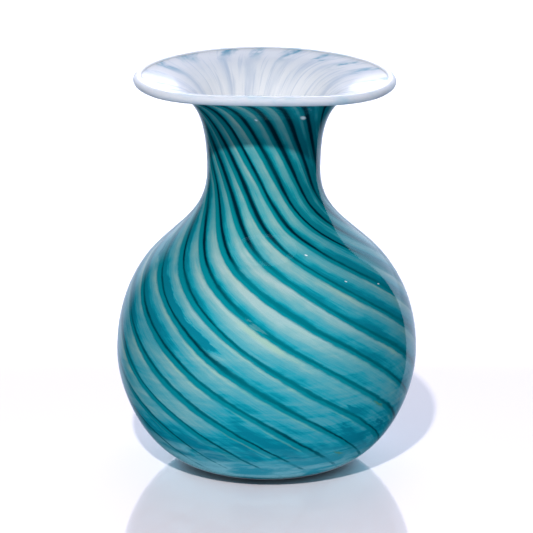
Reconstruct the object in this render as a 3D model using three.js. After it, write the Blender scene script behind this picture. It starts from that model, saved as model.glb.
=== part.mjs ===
// A hand-blown glass vase: a round body, a narrow neck and a wide flared lip.
//
// It is made the way a glassblower makes it, as one layer over another:
//   opal_liner    the first gather, an opal white bubble that is the inside of the vase
//   turquoise and dark teal canes, laid side by side round the bubble and twisted with it
//   clear_casing  the last gather of clear glass, which covers the canes and closes the base
//   lip_wrap      a thick white thread, wound round the open edge and melted in
//
// Millimetres, +Z up. The vase stands on z = 0 and its axis is the Z axis. Angles round the
// axis are measured from the front (-Y) towards the right (+X).

import * as THREE from 'three';

// ---- Driving dimensions -------------------------------------------------------------------

const FOOT_RADIUS = 31.7; // outer edge of the flat ring that the vase stands on
const FOOT_SLOPE = 0.083; // radians above horizontal, where the wall leaves that ring
const PONTIL_RADIUS = 21; // hollow ground into the base, where the punty was broken off
const PONTIL_DEPTH = 1.4;

const BELLY_RADIUS = 76;
const BELLY_HEIGHT = 58.5;

const SHOULDER_RADIUS = 55;
const SHOULDER_HEIGHT = 112;
const SHOULDER_SLOPE = 0.81; // radians in from vertical

const NECK_RADIUS = 28.4;
const NECK_HEIGHT = 152.5;

const LIP_RADIUS = 63; // underside of the lip, where the wrap begins
const LIP_HEIGHT = 196.2;
const LIP_SLOPE = 0.25; // radians above horizontal
const WRAP_WIDTH = 2.9; // how far the wrap stands out beyond the wall
const WRAP_PROUD = 0.25; // how far the wrap swells above and below the wall

// How far each smooth stretch of the outline runs on straight before it bends.
const FOOT_REACH = 29.8;
const BELLY_REACH_DOWN = 20.6;
const BELLY_REACH_UP = 29.8;
const SHOULDER_REACH_DOWN = 10.2;
const SHOULDER_REACH_UP = 19.7;
const NECK_REACH_DOWN = 20.2;
const NECK_REACH_UP = 45.2;
const LIP_REACH = 16.5;

// Depth of each glass surface below the outside of the wall, on the body and at the lip.
// GAP parts two layers that are melted together on the real vase.
const GAP = 0.5;
const CASING_INSIDE = { body: 1.7, lip: 1.1 };
const CANE_OUTSIDE = { body: CASING_INSIDE.body + GAP, lip: CASING_INSIDE.lip + GAP };
const CANE_INSIDE = { body: 3.2, lip: 2.4 };
const LINER_OUTSIDE = { body: CANE_INSIDE.body + GAP, lip: CANE_INSIDE.lip + GAP };
const LINER_INSIDE = { body: 5.6, lip: 4.2 };
const THINNING_START = 0.55; // share of the way up the wall at which the glass starts to thin
const FLOOR_RISE = 1.6; // kick-up at the middle of the floor inside

// Canes
const CANE_COUNT = 19;
const DARK_SHARE = 0.2; // share of each repeat that the dark cane takes
const TWIST_PER_MM = THREE.MathUtils.degToRad(1.06); // along the wall, from the lip down
const FIRST_CANE_ANGLE = THREE.MathUtils.degToRad(15.1); // at the belly
const CANE_PITCH = (2 * Math.PI) / CANE_COUNT;
const CANE_SIDE_GAP = 0.45;

// The hand leaves the twist a little uneven. The canes lag and run ahead of it by turns as
// they go up the wall, and on the belly they are crowded towards the sides. Both are in
// canes: 1 is the step from one dark cane to the next.
const DRIFT_MEAN = 0.04;
const DRIFT_SIZE = 0.19;
const DRIFT_MIDDLE = 40; // along the wall, up from the belly
const DRIFT_REACH = 80;
const CROWDING = 0.09;
const CROWDED_RUNS = [-10, 20, 70, 100]; // where the crowding starts, is full, and ends

// Facets
const ROUND_SEGMENTS = 36;
const WALL_STEPS = 23;
const WRAP_STEPS = 9;
const PONTIL_STEPS = 3;
const TURQUOISE_STRIPS = 2; // flat strips across a turquoise cane

// ---- Materials ----------------------------------------------------------------------------

function glass(color, roughness) {
  return new THREE.MeshStandardMaterial({ color, roughness, metalness: 0 });
}

const clearGlass = glass(0xdfeef0, 0.03);
const turquoiseGlass = glass(0x1f93a3, 0.12);
const darkTealGlass = glass(0x064652, 0.12);
const opalGlass = glass(0xf2f2f6, 0.15);
const wrapGlass = glass(0xeceff5, 0.08);

// ---- The wall -----------------------------------------------------------------------------

// The outside of the wall, from the foot ring up to the lip, as (radius, height).
function outerWall() {
  const wall = new THREE.Path();
  wall.moveTo(FOOT_RADIUS, 0);
  wall.bezierCurveTo(
    FOOT_RADIUS + FOOT_REACH * Math.cos(FOOT_SLOPE), FOOT_REACH * Math.sin(FOOT_SLOPE),
    BELLY_RADIUS, BELLY_HEIGHT - BELLY_REACH_DOWN,
    BELLY_RADIUS, BELLY_HEIGHT,
  );
  const inward = Math.sin(SHOULDER_SLOPE);
  const upward = Math.cos(SHOULDER_SLOPE);
  wall.bezierCurveTo(
    BELLY_RADIUS, BELLY_HEIGHT + BELLY_REACH_UP,
    SHOULDER_RADIUS + SHOULDER_REACH_DOWN * inward, SHOULDER_HEIGHT - SHOULDER_REACH_DOWN * upward,
    SHOULDER_RADIUS, SHOULDER_HEIGHT,
  );
  wall.bezierCurveTo(
    SHOULDER_RADIUS - SHOULDER_REACH_UP * inward, SHOULDER_HEIGHT + SHOULDER_REACH_UP * upward,
    NECK_RADIUS, NECK_HEIGHT - NECK_REACH_DOWN,
    NECK_RADIUS, NECK_HEIGHT,
  );
  wall.bezierCurveTo(
    NECK_RADIUS, NECK_HEIGHT + NECK_REACH_UP,
    LIP_RADIUS - LIP_REACH * Math.cos(LIP_SLOPE), LIP_HEIGHT - LIP_REACH * Math.sin(LIP_SLOPE),
    LIP_RADIUS, LIP_HEIGHT,
  );
  return wall;
}

const WALL = outerWall();
const WALL_LENGTH = WALL.getLength();
const BELLY_LENGTH = WALL.curves[0].getLength(); // along the wall, from the foot to the belly

// The point at a share of the wall's length, at some depth below its outside.
function wallPoint(share, depth) {
  const point = WALL.getPoint(share);
  const along = WALL.getTangent(share);
  const thinning = THREE.MathUtils.smoothstep(share, THINNING_START, 1);
  const here = THREE.MathUtils.lerp(depth.body, depth.lip, thinning);
  return new THREE.Vector2(point.x - here * along.y, point.y + here * along.x);
}

// One surface of a layer, from the foot up to the lip.
function wallSurface(depth) {
  const points = [];
  for (let step = 0; step <= WALL_STEPS; step++) {
    points.push(wallPoint(step / WALL_STEPS, depth));
  }
  return points;
}

// ---- Round pieces -------------------------------------------------------------------------

function revolve(outline) {
  const geometry = new THREE.LatheGeometry(outline, ROUND_SEGMENTS);
  geometry.rotateX(Math.PI / 2);
  return geometry;
}

// The hollow in the base, from its top on the axis out to the flat foot ring.
function pontilHollow() {
  const points = [];
  for (let step = 0; step <= PONTIL_STEPS; step++) {
    const share = step / PONTIL_STEPS;
    points.push(new THREE.Vector2(PONTIL_RADIUS * share, PONTIL_DEPTH * (1 - share * share)));
  }
  return points;
}

function clearCasing() {
  const outside = wallSurface({ body: 0, lip: 0 });
  const inside = wallSurface(CASING_INSIDE).reverse();
  const caneEnd = wallPoint(0, CASING_INSIDE).x - GAP;
  const baseTop = LINER_OUTSIDE.body - GAP;
  const step = [
    new THREE.Vector2(caneEnd, inside.at(-1).y),
    new THREE.Vector2(caneEnd, baseTop),
    new THREE.Vector2(0, baseTop),
  ];
  return revolve([...pontilHollow(), ...outside, ...inside, ...step]);
}

function opalLiner() {
  const outside = wallSurface(LINER_OUTSIDE);
  const inside = wallSurface(LINER_INSIDE).reverse();
  const floorMiddle = new THREE.Vector2(0, LINER_INSIDE.body + FLOOR_RISE);
  const bottomMiddle = new THREE.Vector2(0, LINER_OUTSIDE.body);
  return revolve([bottomMiddle, ...outside, ...inside, floorMiddle]);
}

// The wrap has a flat side against the end of the wall and a half-round outside.
function lipWrap() {
  const lower = wallPoint(1, { body: 0, lip: 0 });
  const upper = wallPoint(1, LINER_INSIDE);
  const along = WALL.getTangent(1);
  const middle = lower.clone().add(upper).multiplyScalar(0.5).addScaledVector(along, GAP);
  const across = upper.clone().sub(lower).normalize();
  const halfHeight = lower.distanceTo(upper) / 2 + WRAP_PROUD;
  const outline = [];
  for (let step = 0; step <= WRAP_STEPS; step++) {
    const turn = -Math.PI / 2 + (Math.PI * step) / WRAP_STEPS;
    const point = middle.clone();
    point.addScaledVector(along, (WRAP_WIDTH - GAP) * Math.cos(turn));
    point.addScaledVector(across, halfHeight * Math.sin(turn));
    outline.push(point);
  }
  outline.push(outline[0].clone());
  return revolve(outline);
}

// ---- Canes --------------------------------------------------------------------------------

// Where the side of a cane is, from its angle in an even twist and its distance along the wall
// up from the belly.
function handTwisted(evenAngle, run) {
  const share = THREE.MathUtils.clamp((run - DRIFT_MIDDLE) / DRIFT_REACH, -1, 1);
  const drift = DRIFT_MEAN - DRIFT_SIZE * Math.cos(Math.PI * share);
  const [start, full, less, end] = CROWDED_RUNS;
  const onBelly = THREE.MathUtils.smoothstep(run, start, full);
  const belowNeck = 1 - THREE.MathUtils.smoothstep(run, less, end);
  const crowding = CROWDING * (1 - Math.cos(2 * evenAngle)) * onBelly * belowNeck;
  return evenAngle + CANE_PITCH * (drift + crowding);
}

// A cane is a flat ribbon that fills its share of the layer between the casing and the liner.
// Its sides are given as the angles that an even twist would have at the belly.
function cane(startAngle, endAngle, strips) {
  const corners = [];
  const ring = 2 * (strips + 1);
  for (let step = 0; step <= WALL_STEPS; step++) {
    const share = step / WALL_STEPS;
    const outer = wallPoint(share, CANE_OUTSIDE);
    const inner = wallPoint(share, CANE_INSIDE);
    const run = share * WALL_LENGTH - BELLY_LENGTH;
    const twist = -TWIST_PER_MM * run;
    const sideGap = CANE_SIDE_GAP / 2 / inner.x;
    const from = handTwisted(startAngle + twist, run) + sideGap;
    const to = handTwisted(endAngle + twist, run) - sideGap;
    for (let corner = 0; corner < ring; corner++) {
      const isOuter = corner <= strips;
      const across = isOuter ? corner / strips : (ring - 1 - corner) / strips;
      const angle = THREE.MathUtils.lerp(from, to, across);
      const point = isOuter ? outer : inner;
      corners.push(point.x * Math.sin(angle), -point.x * Math.cos(angle), point.y);
    }
  }
  return ribbonGeometry(corners, ring, strips);
}

// Closes a run of rings of corners into a solid. The diagonal across each facet is the one
// that turns least round the axis, because it strays least from the curved layer.
function ribbonGeometry(corners, ring, strips) {
  const faces = [];
  for (let step = 0; step < WALL_STEPS; step++) {
    for (let corner = 0; corner < ring; corner++) {
      const next = (corner + 1) % ring;
      const low = step * ring + corner;
      const lowNext = step * ring + next;
      const high = low + ring;
      const highNext = lowNext + ring;
      if (corner <= strips) {
        faces.push(low, lowNext, highNext, low, highNext, high);
      } else {
        faces.push(low, lowNext, high, lowNext, highNext, high);
      }
    }
  }
  const top = WALL_STEPS * ring;
  for (let strip = 0; strip < strips; strip++) {
    const opposite = ring - 1 - strip;
    faces.push(strip, opposite, opposite - 1, strip, opposite - 1, strip + 1);
    faces.push(top + strip, top + opposite - 1, top + opposite);
    faces.push(top + strip, top + strip + 1, top + opposite - 1);
  }
  const geometry = new THREE.BufferGeometry();
  geometry.setAttribute('position', new THREE.Float32BufferAttribute(corners, 3));
  geometry.setIndex(faces);
  geometry.computeVertexNormals();
  return geometry;
}

// ---- Assembly -----------------------------------------------------------------------------

const vase = new THREE.Group();

function addPiece(name, geometry, material) {
  const piece = new THREE.Mesh(geometry, material);
  piece.name = name;
  vase.add(piece);
}

function addCanes() {
  const halfDark = (DARK_SHARE * CANE_PITCH) / 2;
  for (let index = 0; index < CANE_COUNT; index++) {
    const number = String(index + 1).padStart(2, '0');
    const middle = FIRST_CANE_ANGLE + index * CANE_PITCH;
    const dark = cane(middle - halfDark, middle + halfDark, 1);
    const nextDark = middle + CANE_PITCH - halfDark;
    const turquoise = cane(middle + halfDark, nextDark, TURQUOISE_STRIPS);
    addPiece(`dark_cane_${number}`, dark, darkTealGlass);
    addPiece(`turquoise_cane_${number}`, turquoise, turquoiseGlass);
  }
}

addPiece('clear_casing', clearCasing(), clearGlass);
addCanes();
addPiece('opal_liner', opalLiner(), opalGlass);
addPiece('lip_wrap', lipWrap(), wrapGlass);

export default vase;
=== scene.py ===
"""Looks of a hand-blown glass vase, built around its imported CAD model.

The vase is layers of glass melted over each other: an opal white liner, a layer of twisted
canes, dark teal and turquoise by turns, a clear casing over them, and a white thread wound
round the lip. Each layer here follows one outline, at its own depth below the outside.

Metres, +Z up, with the axis of the vase on the Z axis and its front towards -Y. Two words
are used for places on the wall: "run" is the distance along the outline, up from the widest
part of the body, and "turn" counts the canes round the vase, with a dark one at each whole
number.
"""

import math

import bpy
import numpy as np
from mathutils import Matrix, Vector


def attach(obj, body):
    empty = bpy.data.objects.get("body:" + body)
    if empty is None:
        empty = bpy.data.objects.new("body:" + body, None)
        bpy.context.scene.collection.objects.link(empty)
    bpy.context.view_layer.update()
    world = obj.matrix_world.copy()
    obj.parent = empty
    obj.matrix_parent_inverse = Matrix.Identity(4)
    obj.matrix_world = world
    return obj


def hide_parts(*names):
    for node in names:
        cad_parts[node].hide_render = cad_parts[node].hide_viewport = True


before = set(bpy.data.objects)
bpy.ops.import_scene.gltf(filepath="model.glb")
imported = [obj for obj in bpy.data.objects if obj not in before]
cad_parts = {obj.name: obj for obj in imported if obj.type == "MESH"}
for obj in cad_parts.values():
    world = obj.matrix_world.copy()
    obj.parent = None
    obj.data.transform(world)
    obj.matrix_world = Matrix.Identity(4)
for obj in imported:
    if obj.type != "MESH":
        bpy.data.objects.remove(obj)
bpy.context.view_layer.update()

MM = 0.001

# ---- Outline of the wall, outside, in millimetres -------------------------------------------
# The same points as the CAD wall has: foot ring, belly, shoulder, neck and lip.

FOOT_RADIUS = 31.7
FOOT_SLOPE = 0.083
PONTIL_RADIUS = 21.0
PONTIL_DEPTH = 1.4
BELLY = (76.0, 58.5)
SHOULDER = (55.0, 112.0)
SHOULDER_SLOPE = 0.81
NECK = (28.4, 152.5)
LIP = (63.0, 196.2)
LIP_SLOPE = 0.25

# How far each point's curve reaches before it bends away.
FOOT_REACH = 29.8
BELLY_REACH_DOWN = 20.6
BELLY_REACH_UP = 29.8
SHOULDER_REACH_DOWN = 10.2
SHOULDER_REACH_UP = 19.7
NECK_REACH_DOWN = 20.2
NECK_REACH_UP = 45.2
LIP_REACH = 16.5

# Depths of the glass surfaces below the outside, on the body and at the lip.
CANE_OUTSIDE = (0.9, 0.7)
CASING_INSIDE = (1.5, 1.2)  # inside the canes, because casing and canes are one melt
CANE_INSIDE = (3.2, 2.4)
LINER_OUTSIDE = (2.8, 2.1)  # inside the canes too
LINER_INSIDE = (5.6, 4.2)
THINNING_START = 0.55  # share of the way up the wall at which the glass starts to thin
FLOOR_RISE = 1.6  # kick-up at the middle of the floor inside
WRAP_WIDTH = 2.9
WRAP_PROUD = 0.25
WRAP_TUCK = [(-0.7, 0.985), (-1.3, 0.8), (-1.3, -0.8), (-0.7, -0.985)]  # along, share across
WRAP_RUN = 4  # how far along the strands its glass seems to go

# ---- Canes ----------------------------------------------------------------------------------

CANE_COUNT = 19
DARK_SHARE = 0.2
TWIST_PER_MM = math.radians(1.06)
FIRST_CANE_ANGLE = math.radians(15.1)
CANE_PITCH = 2 * math.pi / CANE_COUNT
CANE_START_RADIUS = 2.5  # the canes meet here, under the floor
DRIFT_MEAN = 0.04  # the next four say where the twist is slack, in turns and in runs
DRIFT_SIZE = 0.19
DRIFT_MIDDLE = 40.0
DRIFT_REACH = 80.0
CROWDING = 0.09  # in turns
CROWDED_ABOVE = (-10, 20)  # runs between which the crowding comes
CROWDED_BELOW = (70, 100)  # and goes
WANDER = 0.018  # how far each thread strays, in turns
WIDTH_CHANGE = 0.13  # and how far its width changes, as a share
SHORTEST_WAVE = 45  # length of the waves that it strays in
LONGEST_WAVE = 140
SEED = 40

# ---- Mesh fineness --------------------------------------------------------------------------

WALL_STEPS = 260
BASE_STEPS = 30
ROUND_STEPS = 240
PONTIL_STEPS = 15
WRAP_STEPS = 20
DARK_STRIPS = 4
TURQUOISE_STRIPS = 14
CANE_CORNER = math.radians(50)  # edges sharper than this aren't smoothed over
WALL_CORNER = math.radians(60)


def smooth(value, low, high):
    """0 below the low value and 1 above the high one, with a smooth step between them."""
    share = np.clip((value - low) / (high - low), 0, 1)
    return share * share * (3 - 2 * share)


# ---- The outline ----------------------------------------------------------------------------


def bezier(start, first, second, end, count=400):
    """Points along one cubic stretch of the outline."""
    share = np.linspace(0, 1, count)[:, None]
    points = [np.array(point, float) for point in (start, first, second, end)]
    back = 1 - share
    return (
        back**3 * points[0]
        + 3 * back**2 * share * points[1]
        + 3 * back * share**2 * points[2]
        + share**3 * points[3]
    )


def wall_outline():
    """The outside of the wall from the foot ring to the lip, as close-set points."""
    inward = math.sin(SHOULDER_SLOPE)
    upward = math.cos(SHOULDER_SLOPE)
    foot = (FOOT_RADIUS, 0.0)
    stretches = [
        bezier(
            foot,
            (
                foot[0] + FOOT_REACH * math.cos(FOOT_SLOPE),
                FOOT_REACH * math.sin(FOOT_SLOPE),
            ),
            (BELLY[0], BELLY[1] - BELLY_REACH_DOWN),
            BELLY,
        ),
        bezier(
            BELLY,
            (BELLY[0], BELLY[1] + BELLY_REACH_UP),
            (
                SHOULDER[0] + SHOULDER_REACH_DOWN * inward,
                SHOULDER[1] - SHOULDER_REACH_DOWN * upward,
            ),
            SHOULDER,
        ),
        bezier(
            SHOULDER,
            (
                SHOULDER[0] - SHOULDER_REACH_UP * inward,
                SHOULDER[1] + SHOULDER_REACH_UP * upward,
            ),
            (NECK[0], NECK[1] - NECK_REACH_DOWN),
            NECK,
        ),
        bezier(
            NECK,
            (NECK[0], NECK[1] + NECK_REACH_UP),
            (
                LIP[0] - LIP_REACH * math.cos(LIP_SLOPE),
                LIP[1] - LIP_REACH * math.sin(LIP_SLOPE),
            ),
            LIP,
        ),
    ]
    return np.concatenate([stretches[0]] + [part[1:] for part in stretches[1:]])


FINE = wall_outline()
FINE_LENGTH = np.concatenate([[0], np.cumsum(np.hypot(*np.diff(FINE, axis=0).T))])
WALL_LENGTH = FINE_LENGTH[-1]
BELLY_LENGTH = np.interp(BELLY[1], FINE[:, 1], FINE_LENGTH)
FINE_SLOPE = np.gradient(FINE, FINE_LENGTH, axis=0)


def wall_points(shares, depth):
    """Radius and height at shares of the wall's length, at a depth below its outside."""
    shares = np.asarray(shares, float)
    length = shares * WALL_LENGTH
    point = np.stack([np.interp(length, FINE_LENGTH, FINE[:, i]) for i in (0, 1)], 1)
    along = np.stack([np.interp(length, FINE_LENGTH, FINE_SLOPE[:, i]) for i in (0, 1)], 1)
    along /= np.linalg.norm(along, axis=1)[:, None]
    here = depth[0] + (depth[1] - depth[0]) * smooth(shares, THINNING_START, 1)
    return point + here[:, None] * np.stack([-along[:, 1], along[:, 0]], 1)


def run_at(shares):
    """Distance along the outline from the belly, in millimetres, up the wall."""
    return np.asarray(shares) * WALL_LENGTH - BELLY_LENGTH


def drift(run):
    """The twist slackens over the belly and tightens at both ends. In turns."""
    share = np.clip((np.asarray(run) - DRIFT_MIDDLE) / DRIFT_REACH, -1, 1)
    return DRIFT_MEAN - DRIFT_SIZE * np.cos(math.pi * share)


def crowding(angle, run):
    """On the belly the canes lie further apart in front and behind than at the sides."""
    on_belly = smooth(run, *CROWDED_ABOVE) * (1 - smooth(run, *CROWDED_BELOW))
    return CROWDING * (1 - np.cos(2 * angle)) * on_belly


def cane_angle(turn, run):
    """Direction of a turn at a run, round from the front towards +X."""
    even = FIRST_CANE_ANGLE + CANE_PITCH * turn - TWIST_PER_MM * run
    return even + CANE_PITCH * (drift(run) + crowding(even, run))


# ---- What the hand does to the shape --------------------------------------------------------

LEAN = -1.4  # sideways drift of the neck, millimetres
LEAN_HEIGHTS = (75, 150)
LIP_SHIFT = 0.5  # and back again at the lip
LIP_HEIGHTS = (168, 198)
LIP_TILT_RIGHT = -0.0095  # rise for each millimetre to the right
LIP_DROOP = 1.0  # how far the lip hangs at its sides
LIP_RISE_FRONT = 3.2
LIP_RISE_BACK = 1.6
TWO_LOBES = 0.0021  # how far from round the body is, as shares of its radius
THREE_LOBES = 0.0014
LOBE_TURNING = 0.012  # radians for each millimetre up
ROUND_FOOT = (4, 40)  # heights between which the body goes out of round


def hand_made(points):
    """The small lean, ovality and lip wave of a vase shaped by hand. Millimetres."""
    points = np.array(points, float)
    x, y, z = points.T
    angle = np.arctan2(x, -y)
    lobes = TWO_LOBES * np.sin(2 * angle + 0.7 + z * LOBE_TURNING)
    lobes += THREE_LOBES * np.sin(3 * angle + 2.0)
    oval = 1 + lobes * smooth(z, *ROUND_FOOT)
    lip = smooth(z, *LIP_HEIGHTS)
    points[:, 0] = x * oval + LEAN * smooth(z, *LEAN_HEIGHTS) + LIP_SHIFT * lip
    points[:, 1] = y * oval
    front = np.clip(np.cos(angle), 0, 1) ** 4
    back = np.clip(-np.cos(angle), 0, 1) ** 2
    wave = LIP_RISE_FRONT * front + LIP_RISE_BACK * back - LIP_DROOP
    points[:, 2] = z + lip * (wave + LIP_TILT_RIGHT * x)
    return points


# ---- Mesh building --------------------------------------------------------------------------

AROUND = CANE_COUNT / (2 * math.pi)  # radius of a ring with one unit of length to each turn


def make_piece(name, points, faces, strand, material, slot, nodes, sharp=None):
    """A smooth mesh piece in metres, which stands for the CAD nodes named.

    Its "strand" attribute says where each point is among the canes, whatever the twist: on a
    ring with one unit of length to each turn, at a height that is the run in millimetres."""
    mesh = bpy.data.meshes.new(name)
    mesh.from_pydata((hand_made(points) * MM).tolist(), [], faces)
    turn, run = np.array(strand, float).T
    place = np.stack([AROUND * np.cos(turn / AROUND), AROUND * np.sin(turn / AROUND), run], 1)
    attribute = mesh.attributes.new("strand", "FLOAT_VECTOR", "POINT")
    attribute.data.foreach_set("vector", place.astype(np.float32).ravel())
    mesh.shade_smooth()
    if sharp is not None:
        mesh.set_sharp_from_angle(angle=sharp)
    mesh.materials.append(material)
    piece = bpy.data.objects.new(name, mesh)
    bpy.context.collection.objects.link(piece)
    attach(piece, "root")
    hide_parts(*nodes)
    return piece


def lathe(outline, runs):
    """Points, faces and strand places of an outline turned round the axis. The outline closes
    on itself, or starts and ends on the axis, going up its outer side."""
    outline = np.asarray(outline, float)
    on_axis = outline[0, 0] < 1e-9
    body = slice(1, -1) if on_axis else slice(None)
    rows = outline[body]
    angles = np.arange(ROUND_STEPS) * 2 * math.pi / ROUND_STEPS
    points = []
    strand = []
    for (radius, height), run in zip(rows, np.asarray(runs)[body]):
        untwisted = (angles + TWIST_PER_MM * run - FIRST_CANE_ANGLE) / CANE_PITCH
        for angle, turn in zip(angles, untwisted):
            points.append((radius * math.sin(angle), -radius * math.cos(angle), height))
            strand.append((turn, run))
    count = len(rows)
    faces = []
    for row in range(count - 1 if on_axis else count):
        low = row * ROUND_STEPS
        high = ((row + 1) % count) * ROUND_STEPS
        for step in range(ROUND_STEPS):
            after = (step + 1) % ROUND_STEPS
            faces.append((low + step, low + after, high + after, high + step))
    if on_axis:
        bottom = len(points)
        points += [(0, 0, outline[0, 1]), (0, 0, outline[-1, 1])]
        strand += [(0, runs[0]), (0, runs[-1])]
        last = (count - 1) * ROUND_STEPS
        for step in range(ROUND_STEPS):
            after = (step + 1) % ROUND_STEPS
            faces.append((bottom, after, step))
            faces.append((bottom + 1, last + step, last + after))
    return points, faces, strand


def even_shares():
    """Even steps up the wall, as shares of its length."""
    return np.linspace(0, 1, WALL_STEPS + 1)


def run_under(outline):
    """Run of points under the floor, going on inwards from the foot of the wall."""
    return -BELLY_LENGTH - (FOOT_RADIUS - np.asarray(outline)[:, 0])


def pontil_rise(radius):
    """How far the polished hollow in the base lifts what is over it."""
    return PONTIL_DEPTH * np.clip(1 - (np.asarray(radius) / PONTIL_RADIUS) ** 2, 0, 1)


def base_rows(wall, depth, inner_radius):
    """Points under the floor at a depth, from an inner radius out to the foot of a wall."""
    radius = np.linspace(inner_radius, wall[0, 0], BASE_STEPS + 1)[:-1]
    height = np.interp(radius, [PONTIL_RADIUS, wall[0, 0]], [depth, wall[0, 1]])
    return np.stack([radius, height + pontil_rise(radius)], 1)


# ---- Node helpers ---------------------------------------------------------------------------


def linear(red, green, blue):
    """An sRGB colour, 0 to 255, as the linear colour that a shader takes."""
    parts = []
    for value in (red, green, blue):
        value /= 255
        parts.append(value / 12.92 if value <= 0.04045 else ((value + 0.055) / 1.055) ** 2.4)
    return (*parts, 1.0)


def new_material(name):
    """A material with nodes, so with a surface shader to set."""
    material = bpy.data.materials.new(name)
    material.use_nodes = True
    return material


class Shader:
    """The nodes of a material or of the world, with short ways to add and join them."""

    def __init__(self, tree):
        self.nodes = tree.nodes
        self.links = tree.links
        self.surface = self.nodes.get("Principled BSDF")

    def join(self, value, socket):
        """Fills a socket from another node's socket, or with a number or a colour."""
        if isinstance(value, bpy.types.NodeSocket):
            self.links.new(value, socket)
        else:
            socket.default_value = value

    def set(self, **values):
        """Sets sockets of the surface shader. A name's spaces are written as underscores."""
        for name, value in values.items():
            self.join(value, self.surface.inputs[name.replace("_", " ")])

    def add(self, kind, *values, **settings):
        """A node with its settings, and its sockets filled in order."""
        node = self.nodes.new(kind)
        for key, setting in settings.items():
            setattr(node, key, setting)
        for socket, value in zip(node.inputs, values):
            self.join(value, socket)
        return node

    def math(self, operation, *values, clamp=False):
        node = self.add("ShaderNodeMath", *values, operation=operation, use_clamp=clamp)
        return node.outputs[0]

    def plus(self, *values):
        total = values[0]
        for value in values[1:]:
            total = self.math("ADD", total, value)
        return total

    def times(self, *values):
        total = values[0]
        for value in values[1:]:
            total = self.math("MULTIPLY", total, value)
        return total

    def vector(self, operation, *values, output=0):
        node = self.add("ShaderNodeVectorMath", *values, operation=operation)
        return node.outputs[output]

    def scaled(self, vector, factor):
        node = self.add("ShaderNodeVectorMath", vector, operation="SCALE")
        self.join(factor, node.inputs["Scale"])
        return node.outputs[0]

    def span(self, value, low, high, to_low=0.0, to_high=1.0):
        """A value taken smoothly from one range to another, and held at its ends."""
        node = self.add("ShaderNodeMapRange", interpolation_type="SMOOTHSTEP")
        settings = {
            "Value": value,
            "From Min": low,
            "From Max": high,
            "To Min": to_low,
            "To Max": to_high,
        }
        for name, setting in settings.items():
            self.join(setting, node.inputs[name])
        return node.outputs["Result"]

    def noise(self, where, stretch, detail=2.0, roughness=0.5, distortion=0.0, middle=0.5):
        """Noise less its middle value, over a place that is scaled by a stretch for each axis."""
        node = self.add("ShaderNodeTexNoise")
        settings = {
            "Vector": self.vector("MULTIPLY", where, stretch),
            "Scale": 1.0,
            "Detail": detail,
            "Roughness": roughness,
            "Distortion": distortion,
        }
        for name, setting in settings.items():
            self.join(setting, node.inputs[name])
        return self.math("SUBTRACT", node.outputs["Fac"], middle)

    def mix(self, share, first, second):
        node = self.add("ShaderNodeMix", data_type="RGBA")
        sockets = [socket for socket in node.inputs if socket.enabled]
        for socket, value in zip(sockets, (share, first, second)):
            self.join(value, socket)
        return [socket for socket in node.outputs if socket.enabled][0]

    def ramp(self, value, stops):
        """A colour ramp with stops of (place, colour)."""
        node = self.add("ShaderNodeValToRGB", value)
        band = node.color_ramp
        while len(band.elements) < len(stops):
            band.elements.new(0.5)
        for element, (place, colour) in zip(band.elements, stops):
            element.position = place
            element.color = colour
        return node.outputs["Color"]

    def strand(self):
        """Where a point is among the canes: its place on the untwisted ring, turn and run."""
        place = self.add("ShaderNodeAttribute", attribute_name="strand").outputs["Vector"]
        parts = self.add("ShaderNodeSeparateXYZ", place).outputs
        turn = self.times(self.math("ARCTAN2", parts["Y"], parts["X"]), AROUND)
        return place, turn, parts["Z"]

    def near(self, place, turn, run, half_turn, half_run):
        """1 at a spot among the canes, falling smoothly to 0 at its edge."""
        spot = (AROUND * math.cos(turn / AROUND), AROUND * math.sin(turn / AROUND), run)
        away = self.vector("SUBTRACT", place, spot)
        away = self.vector("MULTIPLY", away, (1 / half_turn, 1 / half_turn, 1 / half_run))
        return self.span(self.vector("LENGTH", away, output=1), 1.0, 0.3)


# ---- Cane glass -----------------------------------------------------------------------------
# Across a cane, from one dark thread to the next, the glass clears slowly from turquoise to
# cream and falls back sharply to turquoise. "Clearing" is how far it has cleared, 0 to 0.65.
# "Phase" is the place between one thread and the next, 0 to 1.

CLEARING = [
    (0.00, linear(10, 128, 146)),
    (0.08, linear(16, 147, 163)),
    (0.15, linear(43, 160, 175)),
    (0.22, linear(74, 164, 177)),
    (0.34, linear(100, 171, 179)),
    (0.50, linear(138, 182, 184)),
    (0.65, linear(166, 193, 193)),
]
CREAM = linear(170, 196, 176)
EDGE_TURQUOISE = linear(5, 136, 148)
THREAD_TEAL = linear(1, 112, 126)
THREAD_NIGHT = linear(0, 38, 52)
DUSTY_TEAL = linear(136, 200, 210)
SLATE_TEAL = linear(56, 160, 178)
OLIVE = linear(96, 150, 110)
OLIVE_CREAM = linear(128, 184, 160)
# painted highlight: the white of the glints on the seeds
GLINT_WHITE = linear(236, 246, 250)

SIDE_SHADE = (0.74, 0.80, 0.82)  # painted shade: the glass is made darker towards the sides of the vase
TABLE_LIGHT_TINT = (0.97, 1.09, 1.12)  # painted light from the white table below: lighter and bluer low on the body
HIGH_TINT = (1.0, 0.98, 0.93)  # and greener up the neck

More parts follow.
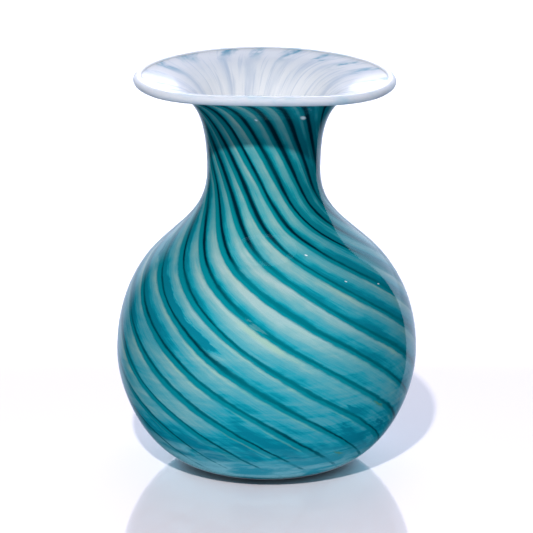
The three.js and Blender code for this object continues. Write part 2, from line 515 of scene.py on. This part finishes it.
# How the glass changes along a cane, as stops of (run, value).
START_STOPS = [(-34, 0.01), (-12, 0.13), (12, 0.13), (40, 0.03), (66, 0.07), (110, -0.03)]
SLOPE_STOPS = [(-34, 0.06), (-12, 0.12), (14, 0.50), (40, 0.95), (60, 1.0), (110, 0.9)]
CAP_STOPS = [(46, 0.66), (70, 0.54), (92, 0.42)]
LEFT_STOPS = [(-34, 0.0), (-14, 0.16), (10, 0.12), (30, -0.05), (60, -0.06), (80, 0.0), (114, 0.14)]
RIGHT_STOPS = [(10, 0.0), (30, -0.04), (60, -0.16), (108, -0.12)]
EARLY_STOPS = [(30, 0.0), (70, 0.05), (92, 0.14), (118, 0.21)]
FRAYING_STOPS = [(-30, 0.05), (10, 0.10), (50, 0.08), (80, 0.05)]
WIDTH_STOPS = [(-40, 0.032), (-10, 0.042), (20, 0.058), (62, 0.062), (108, 0.135)]
INK_STOPS = [(-46, 0.0), (-34, 0.70), (-14, 0.22), (24, 0.04), (54, 0.08), (88, 1.0)]

# How far each kind of straying moves the phase. Feathering is (on the shoulder, near the foot).
SWAY = 0.12
SHIVER = 0.09
FEATHERING = (0.012, 0.075)
# How far each kind of cloudiness moves the clearing.
CLOUD = 0.50
STREAK = 0.30
FIBRE = 0.26
MOTTLE = 0.16
BRUSHING = (0.10, 0.55)  # on the shoulder and near the foot
CROWDED_CLEARING = -0.18  # at the sides
BRUSHED_RUNS = (40, -20)  # the runs between which the brushing comes

FALL = (0.755, 0.865)  # the phases between which the glass falls back to turquoise
RISE = (0.09, 0.01)  # and between which, back towards the thread, it is turquoise again
LEFT_FALL = 0.07  # how much sooner it falls on the left
THREAD_SHIFT = 0.05  # how far a thread lies from its even place up the neck, in turns
SWELL = 1.5

# Spots that the hand left, as turn, run, half their width in turns and half their length.
SMEARS = [(-0.86, 40.0, 0.30, 15.0), (-0.72, 24.0, 0.20, 10.0), (-1.35, 62.0, 0.22, 10.0)]
DASHES = [(0.23, -13.0, 0.12, 3.5), (0.32, -27.5, 0.15, 3.0), (-0.54, -24.0, 0.14, 3.0)]
BREAKS = [(0.97, 33.0, 0.20, 4.5), (3.02, -8.0, 0.16, 4.0)]
FLECKS = [(-1.55, -42.0, 0.16, 3.0), (0.86, -14.0, 0.10, 3.0), (2.10, -36.0, 0.14, 2.5)]
SMEAR_DEPTH = -0.36
DASH_DEPTH = -0.3
SPOT_TEARING = (0.45, 0.45, 16.0)  # how far noise moves the edges of these spots

# Painted highlights: white glints of light on seeds, the small bubbles in the glass, given in the
# same way.
SEED_GLINTS = [
    (8.7, 142.0, 0.20, 1.7),
    (6.5, 140.9, 0.08, 0.8),
    (4.46, 69.6, 0.05, 0.7),
    (4.33, 51.4, 0.03, 0.6),
    (4.94, 44.8, 0.03, 0.5),
]


class CaneShader(Shader):
    """The measures that everything in the cane glass is made from: place, turn and run among
    the canes, the level place in the object, and which way the wall faces."""

    def __init__(self, tree):
        super().__init__(tree)
        self.place, self.turn, self.run = self.strand()
        self.level = self.add("ShaderNodeTexCoord").outputs["Object"]
        torn = self.noise(self.place, (4.0, 4.0, 0.2), 4.0, 0.65)
        self.torn_place = self.vector("ADD", self.place, self.scaled(SPOT_TEARING, torn))
        parts = self.add("ShaderNodeSeparateXYZ", self.level).outputs
        wide = self.times(parts["X"], parts["X"])
        deep = self.times(parts["Y"], parts["Y"])
        both = self.plus(wide, deep)
        spread = self.plus(deep, self.times(wide, -1.0))
        slant = self.times(parts["X"], parts["Y"], -2.0)
        self.fronting = self.math("DIVIDE", spread, both)  # 1 in front and behind, -1 at the sides
        self.slanting = self.math("DIVIDE", slant, both)  # -1 halfway to the left, 1 to the right

    def spots(self, spots):
        """1 in any of the spots, falling to 0 at its torn edge."""
        return self.plus(*[self.near(self.torn_place, *spot) for spot in spots])

    def by_run(self, stops):
        """A value that changes along the cane, from stops of (run, value)."""
        value = stops[0][1]
        for (low, before), (high, after) in zip(stops, stops[1:]):
            value = self.plus(value, self.span(self.run, low, high, 0.0, after - before))
        return value


def stray_phase(shader):
    """The phase, with the sway and the frayed edges of drawn glass."""
    sway = shader.noise(shader.place, (0.6, 0.6, 0.024), 1.0)
    shiver = shader.noise(shader.place, (2.4, 2.4, 0.09), 2.0)
    fray = shader.noise(shader.place, (11.0, 11.0, 0.35), 3.0, 0.65)
    feather = shader.noise(shader.level, (34.0, 34.0, 460.0), 3.0, 0.6)
    feathering = shader.span(shader.run, *BRUSHED_RUNS, *FEATHERING)
    strays = [
        shader.turn,
        shader.times(sway, SWAY),
        shader.times(shiver, SHIVER),
        shader.times(fray, shader.by_run(FRAYING_STOPS)),
        shader.times(feather, feathering),
    ]
    return shader.math("FRACT", shader.plus(*strays))


def cloudiness(shader):
    """How noises of many sizes move the clearing: clouds, long streaks and fibres along the
    canes, and level brush strokes near the foot."""
    cloud = shader.noise(shader.place, (1.3, 1.3, 0.05), 2.0, 0.55, 0.4)
    streak = shader.noise(shader.place, (6.0, 6.0, 0.06), 4.0, 0.6, 0.2)
    fibre = shader.noise(shader.place, (22.0, 22.0, 0.12), 4.0, 0.65)
    mottle = shader.noise(shader.level, (130.0, 130.0, 190.0), 3.0, 0.6)
    brushed = shader.noise(shader.level, (24.0, 24.0, 240.0), 4.0, 0.6, 0.6)
    return shader.plus(
        shader.times(cloud, CLOUD),
        shader.times(streak, STREAK),
        shader.times(fibre, FIBRE),
        shader.times(mottle, MOTTLE),
        shader.times(brushed, shader.span(shader.run, *BRUSHED_RUNS, *BRUSHING)),
    )


def clearing(shader, phase):
    """How far the glass has cleared. It clears most on the belly, in front and behind."""
    start = shader.by_run(START_STOPS)
    slope = shader.by_run(SLOPE_STOPS)
    cleared = shader.plus(start, shader.times(phase, slope))
    cleared = shader.math("MINIMUM", cleared, shader.by_run(CAP_STOPS))
    crowded = shader.span(shader.fronting, 0.95, -0.25, 0.0, CROWDED_CLEARING)
    left = shader.span(shader.slanting, -0.35, -0.9)
    right = shader.span(shader.slanting, 0.35, 0.9)
    return shader.plus(
        cleared,
        shader.times(crowded, shader.span(shader.run, -20.0, 30.0)),
        shader.times(left, shader.by_run(LEFT_STOPS)),
        shader.times(right, shader.by_run(RIGHT_STOPS)),
        cloudiness(shader),
        shader.times(shader.spots(SMEARS), SMEAR_DEPTH),
        shader.times(shader.spots(DASHES), DASH_DEPTH),
    )


def thread_distance(shader, phase):
    """Distance from the middle of the dark thread, as a share of half its width."""
    middle = shader.span(shader.run, 62.0, 108.0, 0.0, THREAD_SHIFT)
    away = shader.math("PINGPONG", shader.plus(phase, middle), 0.5)
    swell = shader.noise(shader.place, (0.9, 0.9, 0.035), 2.0)
    swollen = shader.plus(1.0, shader.times(swell, SWELL))
    return shader.math("DIVIDE", away, shader.times(shader.by_run(WIDTH_STOPS), swollen))


def thread_ink(shader):
    """How dark the thread is: night teal up the neck and to the left, pale across the front."""
    patchy = shader.noise(shader.place, (0.8, 0.8, 0.03), 2.0)
    left = shader.span(shader.slanting, -0.15, -0.85)
    right = shader.span(shader.slanting, 0.35, 0.95)
    on_body = shader.span(shader.run, -6.0, 24.0)
    ink = shader.plus(
        shader.by_run(INK_STOPS),
        shader.times(left, on_body, 0.72),
        shader.times(right, on_body, 0.30),
        shader.times(patchy, 1.1),
    )
    ink = shader.math("MINIMUM", shader.math("MAXIMUM", ink, 0.0), 1.0)
    at_side = shader.span(shader.fronting, -0.30, -0.85, 1.0, 0.45)
    return shader.times(ink, at_side)


def band_colour(shader, phase, kept):
    """The wide pale band between two threads, which falls back to turquoise at its edges
    unless the thread is broken there."""
    cleared = clearing(shader, phase)
    colour = shader.ramp(cleared, CLEARING)
    cream_edge = shader.times(shader.span(phase, 0.52, 0.72), shader.span(cleared, 0.34, 0.60))
    creamy = shader.span(shader.noise(shader.place, (0.7, 0.7, 0.04), 2.0), -0.12, 0.14)
    colour = shader.mix(shader.times(cream_edge, creamy, 0.75), colour, CREAM)

    edge = shader.times(shader.span(phase, 0.69, 0.75), shader.span(phase, 0.82, 0.77))
    here = shader.noise(shader.place, (1.4, 1.4, 0.08), 3.0, 0.6)
    low = shader.span(shader.run, 30.0, -6.0)
    olive = shader.times(edge, shader.span(here, -0.02, 0.10), low, 0.35)
    colour = shader.mix(olive, colour, OLIVE_CREAM)

    left = shader.span(shader.slanting, -0.2, -0.9, 0.0, LEFT_FALL)
    fallen = shader.span(shader.plus(phase, shader.by_run(EARLY_STOPS), left), *FALL)
    fallen = shader.times(fallen, shader.span(kept, 0.0, 1.0, 0.7, 1.0))
    colour = shader.mix(fallen, colour, EDGE_TURQUOISE)
    return shader.mix(shader.span(phase, *RISE), colour, EDGE_TURQUOISE)


def tinted(shader, colour):
    """Painted shade, darker at the sides; painted light from the table, lighter and bluer low on
    the body; and greener up the neck.
    """
    at_side = shader.span(shader.fronting, 0.95, -0.25)
    tints = [
        (shader.times(at_side, shader.span(shader.run, -15.0, 25.0)), SIDE_SHADE),
        (shader.span(shader.run, 60.0, 20.0), TABLE_LIGHT_TINT),
        (shader.span(shader.run, 60.0, 95.0), HIGH_TINT),
    ]
    for share, tint in tints:
        colour = shader.mix(share, colour, shader.vector("MULTIPLY", colour, tint))
    return colour


def cane_glass(name):
    """Turquoise glass that clears to cream, with a dark thread at each whole turn. Round the
    foot the canes smear into dusty teal."""
    material = new_material(name)
    shader = CaneShader(material.node_tree)
    phase = stray_phase(shader)
    kept = shader.span(shader.spots(BREAKS), 0.0, 1.0, 1.0, 0.35)
    colour = tinted(shader, band_colour(shader, phase, kept))

    rough = shader.noise(shader.level, (40.0, 40.0, 200.0), 4.0, 0.6, 0.5)
    foot_share = shader.span(shader.plus(shader.run, shader.times(rough, 40.0)), -34.0, -52.0)
    paler = shader.plus(rough, shader.span(shader.slanting, -0.3, -0.9, 0.0, 0.22))
    foot = shader.mix(shader.span(paler, -0.12, 0.14), SLATE_TEAL, DUSTY_TEAL)
    colour = shader.mix(foot_share, colour, foot)

    distance = thread_distance(shader, phase)
    reach = shader.span(shader.plus(shader.run, shader.times(rough, 50.0)), -58.0, -44.0)
    drawn = shader.times(kept, reach)
    teal = shader.times(shader.span(distance, 2.0, 0.8), drawn, 0.8)
    colour = shader.mix(teal, colour, THREAD_TEAL)
    night = shader.times(shader.span(distance, 1.25, 0.35), thread_ink(shader), drawn)
    colour = shader.mix(night, colour, THREAD_NIGHT)

    colour = shader.mix(shader.times(shader.spots(FLECKS), 0.7), colour, OLIVE)
    # Painted highlights: white glints of light on the seeds.
    seed_glints = shader.plus(*[shader.near(shader.place, *seed) for seed in SEED_GLINTS])
    colour = shader.mix(seed_glints, colour, GLINT_WHITE)
    shader.set(Base_Color=colour, Roughness=0.5, Specular_IOR_Level=0.0)
    return material


# ---- Clear, opal and lip glass --------------------------------------------------------------

LIP_RUN = float(run_at(1.0))

CLEAR = linear(252, 254, 255)
OPAL = linear(206, 208, 217)
# painted light: the throat's white is made lighter than the lip's, where less light reaches
OPAL_THROAT_PAINTED_LIGHT = linear(242, 242, 246)
INSIDE_PAINTED_GLOW = linear(214, 224, 232)  # painted light: a glow the opal gives off inside, for daylight that comes through the wall
INSIDE_PAINTED_GLOW_STRENGTH = 0.09
WISP_TEAL = linear(62, 134, 164)
WISP_GREY = linear(158, 174, 198)
WISP_OFFSET = 0.5  # in turns: the ends fold over the lip between the threads outside
UNWOUND = -0.6 * TWIST_PER_MM / CANE_PITCH  # the ends are twisted less than the canes outside
LIP_WHITE = linear(208, 209, 217)
LIP_BLUE = linear(176, 196, 210)


def clear_glass():
    """Clear glass over the canes."""
    material = new_material("clear_glass")
    shader = Shader(material.node_tree)
    shader.set(Base_Color=CLEAR, Roughness=0.0, IOR=1.5, Transmission_Weight=1.0)
    return material


def unwound_strand(shader):
    """Place, turn and run, with a part of the canes' twist taken out of the first two."""
    _, turn, run = shader.strand()
    unwinding = shader.times(shader.math("SUBTRACT", run, LIP_RUN), UNWOUND)
    turn = shader.plus(turn, unwinding)
    angle = shader.times(turn, 1 / AROUND)
    ring = [shader.times(shader.math(kind, angle), AROUND) for kind in ("COSINE", "SINE")]
    place = shader.add("ShaderNodeCombineXYZ", *ring, run).outputs[0]
    return place, turn, run


def opal_glass():
    """Opaque white glass. The ends of the canes show through it: a smudge of teal where each
    folds over the lip, and a grey streak from there down to the throat. Down the throat it has
    painted light: a lighter white, and a glow as if daylight came through the wall."""
    material = new_material("opal_glass")
    shader = Shader(material.node_tree)
    place, turn, run = unwound_strand(shader)
    sway = shader.noise(place, (0.8, 0.8, 0.03), 3.0)
    frayed = shader.noise(place, (5.0, 5.0, 0.10), 4.0, 0.6)
    phase = shader.plus(turn, WISP_OFFSET, shader.times(sway, 1.1), shader.times(frayed, 0.45))
    away = shader.math("PINGPONG", shader.math("FRACT", phase), 0.5)
    on_wisp = shader.span(away, 0.36, 0.04)
    # Painted light: the opal is lighter deep in the throat than at the lip.
    white = shader.mix(shader.span(run, LIP_RUN - 12.0, LIP_RUN - 48.0), OPAL, OPAL_THROAT_PAINTED_LIGHT)

    some = shader.span(shader.noise(place, (1.1, 1.1, 0.012), 2.0), -0.12, 0.08)
    streaked = shader.span(run, LIP_RUN - 70.0, LIP_RUN - 25.0)
    colour = shader.mix(shader.times(on_wisp, some, streaked, 0.50), white, WISP_GREY)
    fine = shader.span(shader.noise(place, (8.0, 8.0, 0.03), 3.0, 0.6), 0.02, 0.18)
    colour = shader.mix(shader.times(fine, streaked, 0.45), colour, WISP_GREY)

    patchy = shader.span(shader.noise(place, (2.0, 2.0, 0.07), 3.0, 0.6), -0.10, 0.10)
    smudge_end = shader.times(shader.noise(place, (0.9, 0.9, 0.01), 2.0), 40.0)
    near_lip = shader.span(shader.plus(run, smudge_end), LIP_RUN - 22.0, LIP_RUN - 4.0)
    colour = shader.mix(shader.times(on_wisp, patchy, near_lip), colour, WISP_TEAL)
    shader.set(
        Base_Color=colour,
        Roughness=0.16,
        Specular_IOR_Level=0.12,
        # Painted light: deep in the throat the opal glows as if lit through the wall.
        Emission_Color=INSIDE_PAINTED_GLOW,
        Emission_Strength=shader.span(run, LIP_RUN - 45.0, LIP_RUN - 95.0, 0.0, INSIDE_PAINTED_GLOW_STRENGTH),
        Subsurface_Weight=0.6,
        Subsurface_Radius=(0.007, 0.007, 0.0075),
        Subsurface_Scale=1.0,
    )
    return material


def lip_glass():
    """White glass of the thread round the lip, with a breath of blue."""
    material = new_material("lip_glass")
    shader = Shader(material.node_tree)
    place, _, _ = shader.strand()
    blue = shader.noise(place, (1.2, 1.2, 0.2), 3.0, 0.6, middle=0.0)
    shader.set(
        Base_Color=shader.mix(shader.span(blue, 0.45, 0.75), LIP_WHITE, LIP_BLUE),
        Roughness=0.10,
        Specular_IOR_Level=0.2,
        Subsurface_Weight=0.8,
        Subsurface_Radius=(0.005, 0.005, 0.0055),
        Subsurface_Scale=1.0,
    )
    return material


# ---- Pieces ---------------------------------------------------------------------------------


def cane_rows(depth):
    """Radius, height and run of one side of the cane layer, from under the floor to the lip."""
    wall = wall_points(even_shares(), depth)
    base = base_rows(wall, depth[0], CANE_START_RADIUS)
    return np.concatenate([base, wall]), np.concatenate([run_under(base), run_at(even_shares())])


def thread_edges(index):
    """The two sides of a dark cane, in turns, as functions of the run."""
    draw = np.random.default_rng(SEED + index % CANE_COUNT)
    waves = draw.uniform(SHORTEST_WAVE, LONGEST_WAVE, 4)
    starts = draw.uniform(0, 2 * math.pi, 4)

    def edges(run):
        sines = [np.sin(2 * math.pi * run / wave + start) for wave, start in zip(waves, starts)]
        middle = index + WANDER * (sines[0] + sines[1])
        half = DARK_SHARE / 2 * (1 + WIDTH_CHANGE * (sines[2] + sines[3]))
        return middle - half, middle + half

    return edges


def cane(name, material, slot, node, sides, turns):
    """One cane: a twisted ribbon between two sides, closed all round. The turns are the even
    places that its strands have, whatever the hand did to the sides."""
    outer, run = cane_rows(CANE_OUTSIDE)
    inner, _ = cane_rows(CANE_INSIDE)
    low_side, high_side = sides(run)
    strips = len(turns)
    ring = 2 * strips
    points = []
    strand = []
    for row in range(len(run)):
        shares = np.linspace(0, 1, strips)
        actual = low_side[row] + (high_side[row] - low_side[row]) * shares
        angles = cane_angle(actual, run[row])
        for rows, order in ((outer, range(strips)), (inner, reversed(range(strips)))):
            radius, height = rows[row]
            for step in order:
                angle = angles[step]
                points.append((radius * math.sin(angle), -radius * math.cos(angle), height))
                strand.append((turns[step], run[row]))
    faces = []
    for row in range(len(run) - 1):
        for corner in range(ring):
            after = (corner + 1) % ring
            low = row * ring
            faces.append((low + corner, low + after, low + ring + after, low + ring + corner))
    top = (len(run) - 1) * ring
    for step in range(strips - 1):
        mirror = ring - 1 - step
        faces.append((step + 1, step, mirror, mirror - 1))
        faces.append((top + step, top + step + 1, top + mirror - 1, top + mirror))
    return make_piece(name, points, faces, strand, material, slot, [node], CANE_CORNER)


def make_canes():
    material = cane_glass("cane_glass")
    half_dark = DARK_SHARE / 2
    for index in range(CANE_COUNT):
        number = f"{index + 1:02d}"
        this_thread = thread_edges(index)
        next_thread = thread_edges(index + 1)
        cane(
            f"glass_dark_cane_{number}",
            material,
            "dark_teal_glass",
            f"dark_cane_{number}",
            this_thread,
            np.linspace(index - half_dark, index + half_dark, DARK_STRIPS + 1),
        )
        cane(
            f"glass_turquoise_cane_{number}",
            material,
            "turquoise_glass",
            f"turquoise_cane_{number}",
            lambda run: (this_thread(run)[1], next_thread(run)[0]),
            np.linspace(index + half_dark, index + 1 - half_dark, TURQUOISE_STRIPS + 1),
        )


def make_casing():
    """The clear outer gather, with the hollow pontil mark ground into its base."""
    share = np.linspace(0, 1, PONTIL_STEPS + 1)
    hollow = np.stack([PONTIL_RADIUS * share, pontil_rise(PONTIL_RADIUS * share)], 1)
    outside = wall_points(even_shares(), (0, 0))
    inside = wall_points(even_shares(), CASING_INSIDE)
    floor = base_rows(inside, CASING_INSIDE[0], 0.0)
    outline = np.concatenate([hollow, outside, inside[::-1], floor[::-1]])
    run = run_at(even_shares())
    runs = np.concatenate([run_under(hollow), run, run[::-1], run_under(floor[::-1])])
    casing = make_piece(
        "glass_clear_casing",
        *lathe(outline, runs),
        clear_glass(),
        "clear_glass",
        ["clear_casing"],
        WALL_CORNER,
    )
    casing.visible_shadow = False
    casing.visible_diffuse = False
    return casing


def make_liner():
    """The opal bubble inside, with its floor kicked up in the middle."""
    outside = wall_points(even_shares(), LINER_OUTSIDE)
    inside = wall_points(even_shares(), LINER_INSIDE)[::-1]
    share = np.linspace(0, 1, BASE_STEPS + 1)[1:]
    foot = inside[-1]
    rise = LINER_INSIDE[0] + FLOOR_RISE - foot[1]
    floor = np.stack([foot[0] * (1 - share), foot[1] + rise * (1 - (1 - share) ** 2)], 1)
    bottom = np.array([[0.0, LINER_OUTSIDE[0]]])
    outline = np.concatenate([bottom, outside, inside, floor])
    run = run_at(even_shares())
    runs = np.concatenate([run_under(bottom), run, run[::-1], run_under(floor)])
    return make_piece(
        "glass_opal_liner",
        *lathe(outline, runs),
        opal_glass(),
        "opal_glass",
        ["opal_liner"],
        WALL_CORNER,
    )


def make_wrap():
    """The thread round the lip. It bulges round the end of the wall and tucks in behind it."""
    lower = wall_points([1.0], (0, 0))[0]
    upper = wall_points([1.0], LINER_INSIDE)[0]
    across = (upper - lower) / np.linalg.norm(upper - lower)
    along = np.array([across[1], -across[0]])
    middle = (lower + upper) / 2
    half = np.linalg.norm(upper - lower) / 2 + WRAP_PROUD
    turn = np.linspace(-math.pi / 2, math.pi / 2, WRAP_STEPS + 1)
    bulge = np.outer(WRAP_WIDTH * np.cos(turn), along) + np.outer(half * np.sin(turn), across)
    behind, sideways = np.array(WRAP_TUCK).T
    tuck = np.outer(behind, along) + np.outer(sideways * half, across)
    outline = middle + np.concatenate([bulge, tuck])
    runs = np.full(len(outline), LIP_RUN) + np.linspace(0, WRAP_RUN, len(outline))
    return make_piece(
        "glass_lip_wrap", *lathe(outline, runs), lip_glass(), "lip_glass", ["lip_wrap"]
    )


# ---- Stage ----------------------------------------------------------------------------------

CAMERA_DISTANCE = 1.6256
CAMERA_RISE = math.radians(17.0)
AIM_HEIGHT = 0.1012
LENS = 216.135  # millimetres, over a sensor of the width below
SENSOR_WIDTH = 36
FLOOR_SIZE = 6.0
FLOOR_COLOUR = (0.98, 0.865, 0.905, 1.0)
CONTACT_RADIUS = 0.047
CONTACT_DEPTH = -0.0005
CONTACT_DARK = (0.01, 0.01, 0.01, 1.0)

KEY_RISE = math.radians(40)
KEY_LEFT = math.radians(7.6)
KEY_DISTANCE = 1.4
KEY_POWER = 16.7
KEY_SIZE = 0.05
FILL = 0.26  # light from all round, which the glass doesn't mirror
FILL_BELOW = 0.40  # and what the white table sends up
FILL_CHANGE = (0.05, -0.05)  # heights of a direction between which one takes over
TABLE_GLOW = 2.0  # more of it, straight up
TABLE_GLOW_CHANGE = (-0.70, -0.90)
FILL_TINT = (0.72, 0.86, 1.0)
BACKDROP = 1.25
BACKDROP_MIDDLE = 1.85  # more light on the middle of the backdrop
BACKDROP_GLOW = 1.8  # and still more at its foot
GLOW_TOP = math.radians(17.25)
GLOW_FULL = math.radians(17.0)
GLOW_SIDE = 0.095  # how far to the side the glow goes, and where it ends
GLOW_SIDE_END = 0.12
MIDDLE_CORE = math.radians(6)
MIDDLE_EDGE = math.radians(26)
BACKDROP_HALF_ANGLE = math.radians(46)
BACKDROP_RISE = math.radians(15)
LEFT_EDGE = 0.5  # how softly the backdrop ends on each side
RIGHT_EDGE = 0.05
EDGE_CHANGE = 0.1
BELOW = 0.9  # the part of the backdrop that lies on the table
BELOW_CHANGE = (-0.55, -0.22)
TABLE_LINE = (-0.04, 0.0)
BACKDROP_TINT = (0.68, 0.78, 1.0, 1.0)
BACKDROP_MIDDLE_TINT = (0.85, 0.86, 1.0, 1.0)
WHITE = (1.0, 1.0, 1.0, 1.0)


def make_camera():
    """The camera, above the front and a long way off."""
    camera = bpy.data.objects.new("camera", bpy.data.cameras.new("camera"))
    bpy.context.collection.objects.link(camera)
    belly = Vector((0, 0, BELLY[1] * MM))
    back = Vector((0, -math.cos(CAMERA_RISE), math.sin(CAMERA_RISE)))
    camera.location = belly + CAMERA_DISTANCE * back
    aim = Vector((0, 0, AIM_HEIGHT))
    camera.rotation_euler = (aim - camera.location).to_track_quat("-Z", "Y").to_euler()
    camera.data.sensor_width = SENSOR_WIDTH
    camera.data.lens = LENS
    bpy.context.scene.camera = camera


def stage_sheet(name, outline, **looks):
    """A flat level sheet that belongs to the stage and not to the vase."""
    mesh = bpy.data.meshes.new(name)
    mesh.from_pydata(outline, [], [tuple(range(len(outline)))])
    material = new_material(name)
    Shader(material.node_tree).set(**looks)
    mesh.materials.append(material)
    sheet = bpy.data.objects.new(name, mesh)
    bpy.context.collection.objects.link(sheet)
    return sheet


def make_floor():
    """A pale polished table. Scattered and mirrored light doesn't meet it, so the vase is lit
    from below by the world's fill instead."""
    size = FLOOR_SIZE
    corners = [(-size, -size, 0), (size, -size, 0), (size, size, 0), (-size, size, 0)]
    floor = stage_sheet("floor", corners, Base_Color=FLOOR_COLOUR, Roughness=0.03, IOR=1.9)
    floor.visible_glossy = False
    floor.visible_diffuse = False


def make_contact_shade():
    """A dark disc just under the table, met only by the light that the table sends up, so that
    the underside of the vase stays as dark as it is over a real table."""
    turn = np.arange(ROUND_STEPS) * 2 * math.pi / ROUND_STEPS
    rim = np.stack([np.cos(turn), np.sin(turn)], 1) * CONTACT_RADIUS
    outline = [(x, y, CONTACT_DEPTH) for x, y in rim]
    dark = {"Base_Color": CONTACT_DARK, "Roughness": 1.0, "Specular_IOR_Level": 0.0}
    shade = stage_sheet("contact_shade", outline, **dark)
    shade.visible_camera = False
    shade.visible_glossy = False
    shade.visible_transmission = False
    shade.visible_shadow = False


def make_key_light():
    """One small lamp in front, above and a little to the left, which the glass doesn't mirror."""
    lamp = bpy.data.lights.new("key", "AREA")
    lamp.shape = "DISK"
    lamp.size = KEY_SIZE
    lamp.energy = KEY_POWER
    light = bpy.data.objects.new("key", lamp)
    bpy.context.collection.objects.link(light)
    middle = Vector((0, 0, AIM_HEIGHT))
    flat = math.cos(KEY_RISE)
    towards = Vector(
        (-flat * math.sin(KEY_LEFT), -flat * math.cos(KEY_LEFT), math.sin(KEY_RISE))
    )
    light.location = middle + KEY_DISTANCE * towards
    light.rotation_euler = (-towards).to_track_quat("-Z", "Y").to_euler()
    light.visible_glossy = False


def backdrop_light(shader, direction, parts):
    """The bright backdrop behind the vase, brightest in its middle and just over the table."""
    sideways = shader.math("ABSOLUTE", parts["X"])
    inside = shader.times(sideways, -1 / math.tan(BACKDROP_HALF_ANGLE))
    edge = shader.span(parts["X"], -EDGE_CHANGE, EDGE_CHANGE, LEFT_EDGE, RIGHT_EDGE)
    behind = shader.span(shader.plus(parts["Y"], inside), 0.0, edge)
    aim = (0, math.cos(BACKDROP_RISE), math.sin(BACKDROP_RISE))
    ahead = shader.vector("DOT_PRODUCT", direction, aim, output=1)
    middle = shader.span(ahead, math.cos(MIDDLE_EDGE), math.cos(MIDDLE_CORE))
    above = shader.span(middle, 0.0, 1.0, BACKDROP, BACKDROP_MIDDLE)
    low = shader.span(parts["Z"], math.sin(GLOW_TOP), math.sin(GLOW_FULL))
    ahead_only = shader.span(sideways, GLOW_SIDE, GLOW_SIDE_END, 1.0, 0.0)
    above = shader.plus(above, shader.times(low, ahead_only, BACKDROP_GLOW))
    below = shader.span(parts["Z"], *BELOW_CHANGE, 0.0, BELOW)
    strength = shader.plus(
        shader.times(above, shader.span(parts["Z"], *TABLE_LINE)),
        shader.times(below, shader.span(parts["Z"], *reversed(TABLE_LINE))),
    )
    tint = shader.mix(middle, BACKDROP_TINT, BACKDROP_MIDDLE_TINT)
    return shader.scaled(tint, shader.times(behind, strength))


def make_world():
    """White to the camera, a bright backdrop behind the vase, and a soft even fill that the
    glass doesn't mirror."""
    world = bpy.data.worlds.new("studio")
    bpy.context.scene.world = world
    world.use_nodes = True
    shader = Shader(world.node_tree)
    direction = shader.add("ShaderNodeTexCoord").outputs["Generated"]
    parts = shader.add("ShaderNodeSeparateXYZ", direction).outputs
    path = shader.add("ShaderNodeLightPath").outputs
    fill = shader.plus(
        shader.span(parts["Z"], *FILL_CHANGE, FILL, FILL_BELOW),
        shader.span(parts["Z"], *TABLE_GLOW_CHANGE, 0.0, TABLE_GLOW),
    )
    fill = shader.times(fill, shader.math("SUBTRACT", 1.0, path["Is Glossy Ray"]))
    backdrop = backdrop_light(shader, direction, parts)
    light = shader.vector("ADD", backdrop, shader.scaled(FILL_TINT, fill))
    seen = shader.mix(path["Is Camera Ray"], light, WHITE)
    shader.join(seen, shader.nodes["Background"].inputs["Color"])


make_canes()
make_casing()
make_liner()
make_wrap()
make_floor()
make_contact_shade()
make_key_light()
make_world()
make_camera()
bpy.context.scene.view_settings.view_transform = "Standard"
